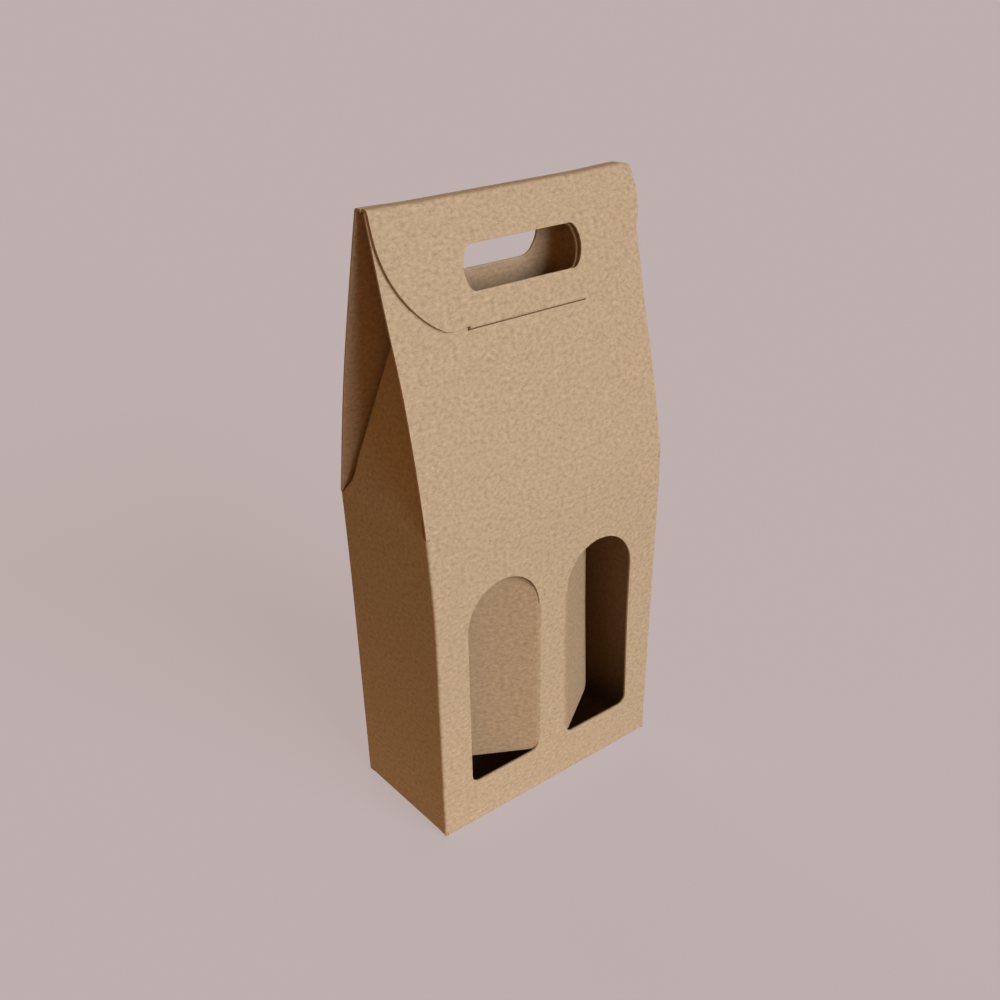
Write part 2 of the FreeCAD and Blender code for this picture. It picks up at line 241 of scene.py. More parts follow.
SPECULAR = 0.28
# Painted shade on the inside faces: their colour is scaled down to this share at the foot of the walls and on
# the bottom flaps
INSIDE_PAINTED_SHADE_AT_FOOT = 0.5

# Cut edge: pressed layers and fur
CUT_LAYERS = ((300, 2, (1, 1, 0.018)), (0.3, 0.7, 0.9, 1.08))
CUT_FUR = ((2200, 3, (1, 1, 1)), (0.3, 0.7, 0.93, 1.07))
CUT_BUMP = (0.00006, 0.5)


# Paths: straight runs joined by arcs, followed by their length


class Path:
    """Line through corner points, with a radius at each inner corner."""

    def __init__(self, points, radii):
        points = [np.array(p, float) for p in points]
        headings = [math.atan2(*(b - a)[::-1]) for a, b in zip(points, points[1:])]
        turns = [(b - a + math.pi) % (2 * math.pi) - math.pi for a, b in zip(headings, headings[1:])]
        self.tangents = [0.0] + [r * math.tan(abs(t) / 2) for r, t in zip(radii, turns)] + [0.0]
        self.start = [0.0]
        self.point = [points[0]]
        self.heading = [headings[0]]
        self.curve = [0.0]
        for k, (a, b) in enumerate(zip(points, points[1:])):
            self.add(np.linalg.norm(b - a) - self.tangents[k] - self.tangents[k + 1], 0.0)
            if k < len(turns):
                self.add(radii[k] * abs(turns[k]), turns[k])

    def add(self, length, turn):
        """Give the last piece its length and turn, and start a straight one where it ends."""
        self.curve[-1] = turn / length
        point, heading = self.at(np.array([self.start[-1] + length]))
        self.start.append(self.start[-1] + length)
        self.point.append(point[0])
        self.heading.append(heading[0])
        self.curve.append(0.0)

    def at(self, s):
        """Points and headings at distances; past either end the path runs straight on."""
        k = np.clip(np.searchsorted(self.start, s, side="right") - 1, 0, len(self.start) - 1)
        d = s - np.array(self.start)[k]
        h0 = np.array(self.heading)[k]
        curve = np.array(self.curve)[k]
        h = h0 + curve * d
        safe = np.where(curve == 0, 1.0, curve)
        x = np.where(curve == 0, d * np.cos(h0), (np.sin(h) - np.sin(h0)) / safe)
        y = np.where(curve == 0, d * np.sin(h0), (np.cos(h0) - np.cos(h)) / safe)
        return np.array(self.point)[k] + np.stack([x, y], 1), h


def slope_end(start, lean, height):
    """Where a slope that leans inward from a point reaches a height."""
    return (start[0] + (height - start[1]) * math.tan(lean), height)


MID_DEPTH = HALF_DEPTH - HALF_BOARD
MID_WIDTH = HALF_WIDTH - HALF_BOARD
WALL_LOW = HALF_BOARD + CREASE_RADIUS
LOCK_REACH = SEAM_Y + LOCK_DEPTH

# Upright sections in their own plane, outside to the left: base flap, wall, then slope or dust flap
FRONT_SHOULDER = (-MID_DEPTH, SHOULDER_Z - HALF_BOARD * math.tan(FRONT_LEAN / 2))
FRONT_PATH = Path([(LOCK_REACH, HALF_BOARD), (-MID_DEPTH, HALF_BOARD), FRONT_SHOULDER,
                   slope_end(FRONT_SHOULDER, FRONT_LEAN, HEIGHT - BOARD - FLAP_GAP)],
                  [CREASE_RADIUS, SHOULDER_RADIUS])
BACK_SHOULDER = (-MID_DEPTH, SHOULDER_Z - HALF_BOARD * math.tan(BACK_LEAN / 2))
BACK_PATH = Path([(0.0, HALF_BOARD), (-MID_DEPTH, HALF_BOARD), BACK_SHOULDER,
                  slope_end(BACK_SHOULDER, BACK_LEAN, HINGE_Z), (0.0, HINGE_Z)], [CREASE_RADIUS] * 3)
SIDE_SHOULDER = (-MID_WIDTH, SHOULDER_Z - HALF_BOARD * math.tan(DUST_LEAN / 2))
SIDE_TIP_Z = SHOULDER_Z + DUST_LENGTH * math.cos(DUST_LEAN)
SIDE_PATH = Path([(SIDE_FOOT_LENGTH - HALF_WIDTH, HALF_BOARD + BOARD), (-MAJOR_FOOT_HALF, HALF_BOARD + BOARD),
                  (-MID_WIDTH, HALF_BOARD), SIDE_SHOULDER, slope_end(SIDE_SHOULDER, DUST_LEAN, SIDE_TIP_Z)],
                 [SIDE_FOOT_BEND, CREASE_RADIUS, CREASE_RADIUS])

# Level sections through the walls from the middle of the front, round the left and the right
TAB_Y = MID_DEPTH - BOARD
LEFT_WALLS = Path([(0, -MID_DEPTH), (MID_WIDTH, -MID_DEPTH), (MID_WIDTH, MID_DEPTH),
                   (-HALF_WIDTH, MID_DEPTH)], [CREASE_RADIUS] * 2)
RIGHT_WALLS = Path([(0, -MID_DEPTH), (MID_WIDTH, -MID_DEPTH), (MID_WIDTH, TAB_Y),
                    (MID_WIDTH - GLUE_TAB_WIDTH, TAB_Y)], [CREASE_RADIUS] * 2)

# Places on the flat sheet: U runs round the walls, V up from the top of the base crease
FRONT_V0 = FRONT_PATH.start[2]
BACK_V0 = BACK_PATH.start[2]
SIDE_V0 = SIDE_PATH.start[4]
V_SHOULDER = SHOULDER_Z - WALL_LOW
V_FRONT_TOP = FRONT_PATH.start[-1] - FRONT_V0
V_BACK_TOP = BACK_PATH.start[-1] - BACK_V0
U_FRONT = LEFT_WALLS.start[1]
U_SIDE = LEFT_WALLS.start[2]
U_LEFT_END = LEFT_WALLS.start[3]
U_BACK = LEFT_WALLS.start[4]
U_BACK_END = LEFT_WALLS.start[-1]
U_BACK_MIDDLE = U_BACK_END - HALF_WIDTH
U_RIGHT_END = RIGHT_WALLS.start[3]
U_TAB = RIGHT_WALLS.start[4]
U_TAB_END = RIGHT_WALLS.start[-1]
EDGE_REACH = HALF_WIDTH - MID_WIDTH + CREASE_RADIUS
FRONT_SHOULDER_Y = FRONT_PATH.at(np.array([V_SHOULDER + FRONT_V0]))[0][0, 0]
CREASE_LENGTH = CREASE_RADIUS * math.pi / 2
ARCH_RADIUS = (WINDOW_OUTER_X - WINDOW_INNER_X) / 2
ARCH_V = WINDOW_TOP_Z - ARCH_RADIUS - WALL_LOW
FRONT_DOWN = np.array([-math.sin(FRONT_LEAN), -math.cos(FRONT_LEAN)])
BACK_DOWN = np.array([-math.sin(BACK_LEAN), -math.cos(BACK_LEAN)])
V_FLAP = V_FRONT_TOP + (FRONT_PATH.point[-1] - np.array([HINGE_Y, HINGE_Z])) @ FRONT_DOWN
BACK_CORNER = np.array(slope_end(BACK_SHOULDER, BACK_LEAN, HINGE_Z))
V_BACK_CREASE = (BACK_PATH.start[5] + BACK_PATH.tangents[3] - BACK_V0
                 + (BACK_CORNER - np.array([-RIDGE_DEPTH / 2, HEIGHT])) @ BACK_DOWN)


# Soft bends that the board has taken between its folds


def ease(value, low, high):
    t = np.clip((value - low) / (high - low), 0, 1)
    return t * t * (3 - 2 * t)


def within(value, low, full, until, high):
    """Share that comes in from low to full, and goes again from until to high."""
    return ease(value, low, full) * (1 - ease(value, until, high))


def swell(value, depth, centre, width):
    return depth * np.exp(-((value - centre) / width) ** 2)


def drift(value, depth, start, end):
    return depth * ease(value, start, end)


def shares(x, y, z):
    """How near places lie to the front, from the back, and to the left, from the right."""
    rise = np.clip(z - SHOULDER_Z, 0, None)
    front = -HALF_DEPTH + rise * math.tan(FRONT_LEAN)
    back = HALF_DEPTH - rise * math.tan(BACK_LEAN)
    front_share = np.clip((back - y) / np.clip(back - front, LEAST_DEPTH, None), 0, 1)
    return front_share, np.clip(0.5 - x / (2 * HALF_WIDTH), 0, 1)


def soften(points, joined=1.0):
    """Bow the walls and slopes in or out, with what is joined to them, and shift the handle flap a little."""
    x, y, z = points.T
    front_share, left_share = shares(x, y, z)
    left_bow = swell(z, *LEFT_BULGE) + swell(z, *LEFT_HOLLOW)
    right_bow = drift(z, *RIGHT_WALL_DRIFT) + drift(z, *RIGHT_SLOPE_DRIFT) + drift(z, *RIGHT_TOP_DRIFT)
    back_bow = drift(z, *BACK_WALL_DRIFT) + swell(z, *BACK_BULGE)
    front_bow = left_share ** BOW_FADE * left_bow + (1 - left_share) ** BOW_FADE * right_bow
    window = WINDOW_SHIFT * within(x, *WINDOW_SHIFT_X) * within(z, *WINDOW_SHIFT_Z)
    slid = within(x, *HANDLE_SHIFT_X) * within(z, *HANDLE_SHIFT_Z)
    sag = RIDGE_SAG + drift(-x, *LEFT_SAG_DRIFT) + drift(x, *RIGHT_SAG_DRIFT)
    sag += RIDGE_END_DROP * ease(x, *RIDGE_END_X) ** 2
    soft = points.copy()
    soft[:, 0] += FOOT_SPREAD * x * (1 - ease(z, 0, FOOT_SPREAD_Z))
    soft[:, 0] += (HANDLE_SHIFT[0] * slid + window) * front_share
    soft[:, 0] += TOP_SLANT * ease(z, *TOP_SLANT_Z) * ease(x, *TOP_SLANT_X)
    soft[:, 1] += front_share * (front_bow + HANDLE_SHIFT[1] * slid)
    soft[:, 1] += (1 - front_share) * left_share ** BOW_FADE * back_bow * joined
    soft[:, 2] += (HANDLE_SHIFT[2] * front_share - HANDLE_SHIFT_BACK * (1 - front_share)) * slid
    soft[:, 2] -= sag * ease(z, *RIDGE_SAG_Z)
    return soft


# Folding: from places on the flat sheet to places and outward directions in space


def fold_panel(path, v, v0):
    """Reach, height, and outward direction of places up a wall's section."""
    at, heading = path.at(v + v0)
    return at[:, 0], at[:, 1], -np.sin(heading), np.cos(heading)


def fold_walls(flat):
    """Places and directions round the upright walls, with the corners beside the front's soft shoulder."""
    u, v = flat.T
    on_left = u < 0
    left_at, left_heading = LEFT_WALLS.at(np.abs(u))
    right_at, right_heading = RIGHT_WALLS.at(np.abs(u))
    x, y = np.where(on_left[:, None], left_at, right_at).T
    heading = np.where(on_left, left_heading, right_heading)
    front_y = fold_panel(FRONT_PATH, v, FRONT_V0)[0]
    wall_y = np.where(v < V_SHOULDER, front_y, FRONT_SHOULDER_Y)
    y = y + np.clip(0.5 - y / (2 * MID_DEPTH), 0, 1) * np.where(v > 0, wall_y + MID_DEPTH, 0)
    place = np.stack([x, y, WALL_LOW + v], 1)
    return place, np.stack([np.sin(heading), -np.cos(heading), np.zeros_like(u)], 1)


def fold_carton(flat):
    """The body's sheet: walls, slopes, dust flaps, bottom flaps and glue tab."""
    u, v = flat.T
    on_left = u < 0
    reach = np.abs(u)
    place, normal = fold_walls(flat)

    is_side = (reach >= U_SIDE) & (reach <= np.where(on_left, U_LEFT_END, U_RIGHT_END))
    side_x, side_z, out_x, out_z = fold_panel(SIDE_PATH, v, SIDE_V0)
    place[is_side] = np.stack([-side_x, place[:, 1], side_z], 1)[is_side]
    normal[is_side] = np.stack([-out_x, 0 * out_x, out_z], 1)[is_side]

    is_front = (reach <= U_FRONT) | ((v > V_SHOULDER) & (reach <= U_FRONT + EDGE_REACH + RIM))
    front_y, front_z, out_y, out_z = fold_panel(FRONT_PATH, v, FRONT_V0)
    place[is_front] = np.stack([reach, front_y, front_z], 1)[is_front]
    normal[is_front] = np.stack([0 * out_y, out_y, out_z], 1)[is_front]

    back_low = np.where(v > V_SHOULDER, U_BACK - EDGE_REACH - RIM, U_BACK)
    is_back = on_left & (reach >= back_low)
    back_y, back_z, out_y, out_z = fold_panel(BACK_PATH, v, BACK_V0)
    place[is_back] = np.stack([U_BACK_MIDDLE - reach, -back_y, back_z], 1)[is_back]
    normal[is_back] = np.stack([0 * out_y, -out_y, out_z], 1)[is_back]

    side = np.where(on_left, -1.0, 1.0)
    place[:, 0] *= side
    normal[:, 0] *= side
    is_dust_flap = is_side & ~is_back
    return soften(place, 1 - is_dust_flap * ease(v, V_SHOULDER, V_SHOULDER + DUST_BOW_FADE)), normal


def ring_point(depth):
    """Point of the tongue's ring about the handle flap's crease, at a depth behind the flap."""
    angle = FRONT_LEAN - math.asin(depth / TONGUE_RADIUS)
    return (HINGE_Y - TONGUE_RADIUS * math.sin(angle), HINGE_Z - TONGUE_RADIUS * math.cos(angle))


FLAP_PATH = Path([(0.0, HINGE_Z), (HINGE_Y, HINGE_Z), ring_point(0), ring_point(TONGUE_DEPTH / 2),
                  ring_point(TONGUE_DEPTH)], [FLAP_CREASE_RADIUS, CREASE_RADIUS, TONGUE_BEND])
FLAP_W0 = FLAP_PATH.start[2] - FLAP_PATH.tangents[1]
FLAP_W_END = FLAP_PATH.start[-1]


def fold_handle(flat):
    """The handle flap's sheet: half of the ridge, the crease, the flap and its tongue."""
    x, w = flat.T
    at, heading = FLAP_PATH.at(w)
    down = np.clip((w - FLAP_W0) / FLAP_LENGTH, 0, 1)
    right_share = np.clip(0.5 + x / (2 * FLAP_HALF_WIDTH), 0, 1)
    rise = FLAP_RISE_LEFT + FLAP_RISE_RIGHT * right_share ** FLAP_RISE_GROWTH
    rise *= np.clip(np.sin(np.pi * down), 0, 1) ** FLAP_RISE_ROUNDNESS
    place = np.stack([x, at[:, 0], at[:, 1]], 1)
    normal = np.stack([0 * x, np.sin(heading), -np.cos(heading)], 1)
    return soften(place + normal * rise[:, None]), normal


def window_path(angle):
    """Level section through a right window flap, from the seam with the front panel."""
    reach = WINDOW_OUTER_X - WINDOW_INNER_X
    tip = (WINDOW_INNER_X + reach * math.cos(angle), -MID_DEPTH + reach * math.sin(angle))
    return Path([(WINDOW_SEAM_X, -MID_DEPTH), (WINDOW_INNER_X, -MID_DEPTH), tip], [WINDOW_FOLD_RADIUS])


def fold_window(side, angle, twist):
    """A window flap's sheet, turned about its fold line and twisted back towards its foot."""
    path = window_path(angle)

    def fold(flat):
        x, v = flat.T
        at, heading = path.at(x * side - WINDOW_SEAM_X)
        place = np.stack([side * at[:, 0], at[:, 1], WALL_LOW + v], 1)
        normal = np.stack([side * np.sin(heading), -np.cos(heading), 0 * x], 1)
        reach = np.clip(x * side - WINDOW_INNER_X - WINDOW_FOLD_RADIUS, 0, None)
        place += normal * (twist * reach * (1 - v / WINDOW_TOP_Z))[:, None]
        return soften(place), normal
    return fold


# Outlines, as closed lists of places on the sheet


def arc_points(start, end, sag, steps):
    """Places after the start, up to the end, of an arc that stands off its chord on the left."""
    a, b = np.array(start, float), np.array(end, float)
    chord = np.linalg.norm(b - a)
    half = 2 * math.atan2(2 * abs(sag), chord)
    radius = chord / 2 / math.sin(half)
    along = (b - a) / chord
    across = np.array([-along[1], along[0]]) * math.copysign(1, sag)
    centre = (a + b) / 2 + across * (abs(sag) - radius)
    angles = np.linspace(-half, half, steps + 1)[1:]
    return [tuple(centre + radius * (math.sin(t) * along + math.cos(t) * across)) for t in angles]


def eased(points, corner, chosen):
    """Outline with the chosen corners rounded over a length each side, as far as the sides allow."""
    kept = []
    for k, point in enumerate(points):
        if not chosen(point):
            kept.append(point)
            continue
        p = np.array(point, float)
        before = np.array(points[k - 1], float) - p
        after = np.array(points[(k + 1) % len(points)], float) - p
        a = p + before * min(CORNER_LIMIT, corner / np.linalg.norm(before))
        b = p + after * min(CORNER_LIMIT, corner / np.linalg.norm(after))
        steps = np.linspace(0, 1, CORNER_STEPS + 1)
        kept += [tuple((1 - t) ** 2 * a + 2 * t * (1 - t) * p + t * t * b) for t in steps]
    return kept


def block(low, high):
    return [(low[0], low[1]), (high[0], low[1]), (high[0], high[1]), (low[0], high[1])]


def both_sides(right):
    """Outline from its right half, which runs upwards."""
    return right + [(-x, y) for x, y in reversed(right)]


def mirror(points):
    return [(-x, y) for x, y in reversed(points)]


def shifted(points, u, v=0.0, flip=1):
    """Outline moved along the sheet, with its second measure turned over if flip is -1."""
    return [(u + x, v + flip * y) for x, y in points]


def window_outline(inset):
    """Arched window of the right half with its fold side brought to the seam, drawn in by the inset."""
    left = WINDOW_INNER_X + inset
    right = WINDOW_OUTER_X - inset
    low = WINDOW_BOTTOM_Z + inset - WALL_LOW
    corner = WINDOW_CORNER - inset
    quarter = 1 - math.sqrt(0.5)
    top = ((left + right) / 2, WINDOW_TOP_Z - inset - WALL_LOW)
    points = [(WINDOW_SEAM_X, low + corner), (left, low + corner)]
    points += arc_points(points[-1], (left + corner, low), -corner * quarter, CORNER_STEPS)
    points += [(right - corner, low)]
    points += arc_points(points[-1], (right, low + corner), -corner * quarter, CORNER_STEPS)
    points += [(right, ARCH_V)]
    points += arc_points(points[-1], top, -ARCH_RADIUS * quarter, ARCH_STEPS)
    points += arc_points(top, (left, ARCH_V), -ARCH_RADIUS * quarter, ARCH_STEPS)
    return points + [(WINDOW_SEAM_X, ARCH_V)]


def hand_hole(top, height, edge_half, bulge, corner):
    """Hole with straight long edges and bulged ends, measured down a slope."""
    low = top + height
    right = arc_points((edge_half, top), (edge_half, low), -bulge, CORNER_STEPS)
    left = arc_points((-edge_half, low), (-edge_half, top), -bulge, CORNER_STEPS)
    points = [(-edge_half, top), (edge_half, top)] + right + [(-edge_half, low)] + left[:-1]
    return eased(points, corner, lambda p: abs(abs(p[0]) - edge_half) < NEAR)


def foot_v(path, v0, y):
    """Place on the sheet of a line on a bottom flap, from how far in it lies."""
    return path.point[0][0] - y - v0


def major_foot(path, v0, seam, gap):
    """Bottom flap of the front or back panel, out to the seam line with its lock."""
    plain_v = foot_v(path, v0, seam - SEAM_HALF_GAP)
    lock_v = foot_v(path, v0, seam + math.copysign(LOCK_DEPTH, seam) - SEAM_HALF_GAP)
    neck = -CREASE_LENGTH
    return both_sides([(LOCK_HALF + gap, lock_v), (LOCK_HALF + LOCK_TAPER + gap, plain_v),
                       (MAJOR_FOOT_HALF, plain_v), (MAJOR_FOOT_HALF, neck - FOOT_SHOULDER),
                       (U_FRONT - RELIEF, neck), (U_FRONT - RELIEF, RIM)])


def side_parts(side, end):
    """Dust flap and bottom flap of a side panel."""
    middle = U_SIDE + MID_DEPTH - CREASE_RADIUS
    tip = SIDE_PATH.start[-1] - SIDE_V0
    neck = (DUST_NECK_HALF, V_SHOULDER + DUST_NECK)
    right = [(DUST_FOOT_HALF, V_SHOULDER - 2 * RELIEF), (DUST_FOOT_HALF, V_SHOULDER)]
    right += arc_points(right[-1], neck, DUST_FLARE_SAG, CORNER_STEPS)
    dust = eased(both_sides(right + [(DUST_TIP_HALF, tip)]), DUST_TIP_CORNER, lambda p: p[1] > tip - NEAR)
    wide = end - middle - SIDE_FOOT_GAP
    ramp = SIDE_PATH.start[2] - SIDE_V0
    foot = both_sides([(wide - SIDE_FOOT_TAPER, -SIDE_V0), (wide - FOOT_SHOULDER, ramp),
                       (wide, -CREASE_LENGTH), (wide, RIM)])
    return [shifted(dust, side * middle), shifted(foot, side * middle)]


def corner_tab(u):
    """End of a wall's upright fold, between the bottom folds either side of it."""
    return block((u + RELIEF, -CORNER_REACH), (u + CREASE_LENGTH - RELIEF, RIM))


def carton_parts():
    """Parts of the body's die-cut sheet, which overlap into one outline."""
    top = V_SHOULDER - RELIEF
    join = V_SHOULDER + RELIEF
    parts = [block((-U_BACK_END, 0), (U_TAB, top)),
             block((-HALF_WIDTH, join), (HALF_WIDTH, V_FRONT_TOP)),
             block((-U_FRONT, top - RIM), (U_FRONT, join + RIM)),
             block((-U_BACK_END, top - RIM), (-U_BACK, join + RIM)),
             block((-U_BACK_END, join), (HALF_WIDTH - U_BACK_MIDDLE, V_BACK_TOP)),
             major_foot(FRONT_PATH, FRONT_V0, SEAM_Y, -SEAM_HALF_GAP),
             shifted(major_foot(BACK_PATH, BACK_V0, -SEAM_Y, SEAM_HALF_GAP), -U_BACK_MIDDLE),
             corner_tab(U_FRONT), mirror(corner_tab(U_FRONT)), corner_tab(U_RIGHT_END),
             mirror(corner_tab(U_LEFT_END)),
             [(U_TAB - RIM, GLUE_TAB_MARGIN), (U_TAB_END, 2 * GLUE_TAB_MARGIN),
              (U_TAB_END, V_SHOULDER - 2 * GLUE_TAB_MARGIN), (U_TAB - RIM, V_SHOULDER - GLUE_TAB_MARGIN)]]
    return parts + side_parts(-1, U_LEFT_END) + side_parts(1, U_RIGHT_END)


def carton_holes():
    hole = hand_hole(HOLE_TOP, HOLE_HEIGHT, HOLE_EDGE_HALF, HOLE_BULGE, HOLE_CORNER)
    back = hand_hole(BACK_HOLE_TOP, BACK_HOLE_HEIGHT, BACK_HOLE_EDGE_HALF, BACK_HOLE_BULGE, BACK_HOLE_CORNER)
    half = TONGUE_HALF + SLIT_END_GAP
    thick = HALF_BOARD + SLIT_GAP
    slit = block((-half, TONGUE_RADIUS - thick), (half, TONGUE_RADIUS + thick))
    return [window_outline(0), mirror(window_outline(0)), shifted(hole, 0, V_FLAP, -1),
            shifted(slit, 0, V_FLAP, -1), shifted(back, -U_BACK_MIDDLE, V_BACK_CREASE, -1)]


def handle_part():
    """The handle flap with half of the ridge and the tongue."""
    centre_x = FLAP_HALF_WIDTH - FLAP_SIDE_RADIUS
    swing = math.asin((FLAP_LENGTH - FLAP_SIDE_LENGTH) / FLAP_SIDE_RADIUS)
    foot_x = centre_x + FLAP_SIDE_RADIUS * math.cos(swing)
    sag = FLAP_SIDE_RADIUS * (1 - math.cos(swing / 2))
    right = [(FLAP_HALF_WIDTH, 0), (FLAP_HALF_WIDTH, FLAP_W0 + FLAP_SIDE_LENGTH)]
    right += arc_points(right[-1], (foot_x, FLAP_W0 + FLAP_LENGTH), -sag, FLAP_SIDE_STEPS)
    right += [(TONGUE_HALF, FLAP_W0 + FLAP_LENGTH), (TONGUE_HALF, FLAP_W_END)]
    points = eased(both_sides(right), FLAP_CORNER, lambda p: abs(abs(p[0]) - foot_x) < NEAR)
    return eased(points, TONGUE_CORNER, lambda p: p[1] > FLAP_W_END - NEAR)


# Sheets: an outline filled with a net of points, folded, and given its thickness

# Rings round a cut edge, from the outer face to the inner: share of the rim drawn in, height off the middle
OUTER_RINGS = [(1.0, HALF_BOARD), (RIM_TURN, HALF_BOARD - RIM_TURN * RIM), (0.0, HALF_BOARD - RIM)]
RINGS = OUTER_RINGS + [(inset, -height) for inset, height in reversed(OUTER_RINGS)]


def inside(points, polygon):
    """Which points lie in a polygon."""
    x, y = points.T
    result = np.zeros(len(points), bool)
    for a, b in zip(polygon, polygon[1:] + polygon[:1]):
        if a[1] != b[1]:
            crossing = (a[1] > y) != (b[1] > y)
            result ^= crossing & (x < (b[0] - a[0]) * (y - a[1]) / (b[1] - a[1]) + a[0])
    return result


def inside_sheet(points, parts, holes):
    in_part = np.any([inside(points, part) for part in parts], axis=0)
    return in_part & ~np.any([inside(points, hole) for hole in holes], axis=0)


def clear_of(points, polygons, distance):
    """Which points keep a distance from every edge."""
    result = np.ones(len(points), bool)
    for polygon in polygons:
        for a, b in zip(polygon, polygon[1:] + polygon[:1]):
            a, d = np.array(a), np.array(b) - np.array(a)
            t = np.clip((points - a) @ d / max(d @ d, 1e-18), 0, 1)
            result &= np.linalg.norm(points - a - t[:, None] * d, axis=1) > distance
    return result


def grid_lines(path, v0=0.0):
    """Lines across a path: few on its straight runs, several through each fold and beside it."""
    lines = []
    for k in range(len(path.start) - 1):
        a, b = path.start[k], path.start[k + 1]
        turn = abs(path.curve[k]) * (b - a)
        count = math.ceil(max(turn / FOLD_STEP, (b - a) / GRID))
        lines += list(np.linspace(a, b, count + 1)[:-1])
        if not turn and b - a > 4 * BESIDE_FOLD:
            lines += [a + BESIDE_FOLD, b - BESIDE_FOLD]
    return np.array(sorted(lines + [path.start[-1]])) - v0


def cut_at(polygon, zones):
    """The polygon's edges divided where the net's lines cross them."""
    points = []
    for a, b in zip(polygon, polygon[1:] + polygon[:1]):
        a, b = np.array(a, float), np.array(b, float)
        splits = [0.0]
        for u_lines, v_lines in zones:
            beside = u_lines[0] - EDGE_REACH <= (a[0] + b[0]) / 2 <= u_lines[-1] + EDGE_REACH
            if not beside and abs(a[1] - b[1]) > NEAR:
                continue
            for axis, lines in ((0, u_lines), (1, v_lines)):
                if abs(b[axis] - a[axis]) > NEAR:
                    splits += list((lines - a[axis]) / (b[axis] - a[axis]))
        gap = SHORTEST_EDGE / max(np.linalg.norm(b - a), SHORTEST_EDGE)
        last = 0.0
        points.append(a)
        for t in sorted(splits):
            if t - last > gap and 1 - t > gap:
                points.append(a + t * (b - a))
                last = t
    return points


def flat_net(parts, holes, zones):
    """Triangles that fill the sheet's outline."""
    polygons = parts + holes
    coords = []
    edges = []
    for polygon in polygons:
        ring = cut_at(polygon, zones)
        first = len(coords)
        coords += ring
        edges += [(first + k, first + (k + 1) % len(ring)) for k in range(len(ring))]
    for u_lines, v_lines in zones:
        net = np.stack(np.meshgrid(u_lines, v_lines), 2).reshape(-1, 2)
        net = net[inside_sheet(net, parts, holes)]
        coords += list(net[clear_of(net, polygons, NET_CLEAR)])
    result = delaunay_2d_cdt([Vector(c) for c in coords], edges, [], 0, MERGED, False)
    flat = np.array([tuple(v) for v in result[0]])
    faces = np.array([f for f in result[2] if len(f) == 3])
    faces = faces[inside_sheet(flat[faces].mean(1), parts, holes)]
    faces = sound_triangles(flat, faces)
    used = np.unique(faces)
    renumbered = np.full(len(flat), -1)
    renumbered[used] = np.arange(len(used))
    return flat[used], renumbered[faces]


def sound_triangles(flat, faces):
    """Triangles turned one way round, without slivers."""
    a, b, c = (flat[faces[:, k]] for k in range(3))
    area = (b - a)[:, 0] * (c - a)[:, 1] - (b - a)[:, 1] * (c - a)[:, 0]
    faces[area < 0] = faces[area < 0][:, ::-1]
    longest = np.max([np.linalg.norm(p - q, axis=1) for p, q in ((a, b), (b, c), (c, a))], axis=0)
    return faces[np.abs(area) > SLIVER * longest]


def border_edges(faces):
    """Edges with the sheet on their left only."""
    directed = np.concatenate([faces[:, [0, 1]], faces[:, [1, 2]], faces[:, [2, 0]]])
    seen = {tuple(e) for e in directed}
    return np.array([e for e in directed if (e[1], e[0]) not in seen])


def inward_steps(flat, border, is_seam):
    """Step into the sheet at each border point, none along a seam."""
    along = flat[border[:, 1]] - flat[border[:, 0]]
    along /= np.linalg.norm(along, axis=1)[:, None]
    left = np.stack([-along[:, 1], along[:, 0]], 1)
    step = np.zeros_like(flat)
    np.add.at(step, border[:, 0], left)
    np.add.at(step, border[:, 1], left)
    size = (step ** 2).sum(1)
    step = step * (2 / np.clip(size, MITRE_LIMIT, None))[:, None]
    step[is_seam(flat)] = 0
    return step


def facing_inward(flat, faces, fold):
    """Whether the net's triangles turn away from the sheet's outward side once it is folded."""
    place, normal = fold(flat)
    corner = place[faces]
    facing = np.cross(corner[:, 1] - corner[:, 0], corner[:, 2] - corner[:, 0])
    return (facing * normal[faces[:, 0]]).sum() < 0


def board_faces(faces, border, edge_points, starts):
    """Faces of both skins and of the cut edge between them, each with its material."""
    edge_place = {point: k for k, point in enumerate(edge_points)}

    def ring_index(k, index):
        return index if k == 0 else starts[k] + (index if k == len(RINGS) - 1 else edge_place[index])
    polygons = [tuple(f) for f in faces] + [tuple(f[::-1] + starts[-2]) for f in faces]
    materials = [0] * len(faces) + [1] * len(faces)
    for k in range(len(RINGS) - 1):
        for i, j in border:
            polygons.append((ring_index(k, j), ring_index(k, i), ring_index(k + 1, i), ring_index(k + 1, j)))
            materials.append(2)
    return polygons, materials


def sheet(name, net, fold, is_seam):
    """Board folded from its flat net, with rounded cut edges."""
    flat, faces = net
    border = border_edges(faces)
    edge_points = np.unique(border)
    step = inward_steps(flat, border, is_seam)
    points = []
    sheet_places = []
    for k, (inset, height) in enumerate(RINGS):
        chosen = np.arange(len(flat)) if k in (0, len(RINGS) - 1) else edge_points
        place, normal = fold((flat + step * RIM * inset)[chosen])
        points.append(place + normal * height)
        sheet_places.append(np.column_stack([flat[chosen], np.full(len(chosen), height / HALF_BOARD)]))
    starts = np.cumsum([0] + [len(p) for p in points])
    polygons, materials = board_faces(faces, border, edge_points, starts)
    if facing_inward(flat, faces, fold):
        polygons = [p[::-1] for p in polygons]
    mesh = bpy.data.meshes.new(name)
    mesh.from_pydata(np.concatenate(points).tolist(), [], [[int(i) for i in p] for p in polygons])
    mesh.polygons.foreach_set("material_index", materials)
    mesh.polygons.foreach_set("use_smooth", [True] * len(polygons))
    sheet_place = mesh.attributes.new("sheet_place", "FLOAT_VECTOR", "POINT")
    sheet_place.data.foreach_set("vector", np.concatenate(sheet_places).astype(np.float32).ravel())
    mark_folds(mesh, flat, fold, starts, edge_points)
    mesh.validate()
    mark_rims(mesh)
    return placed(name, mesh)


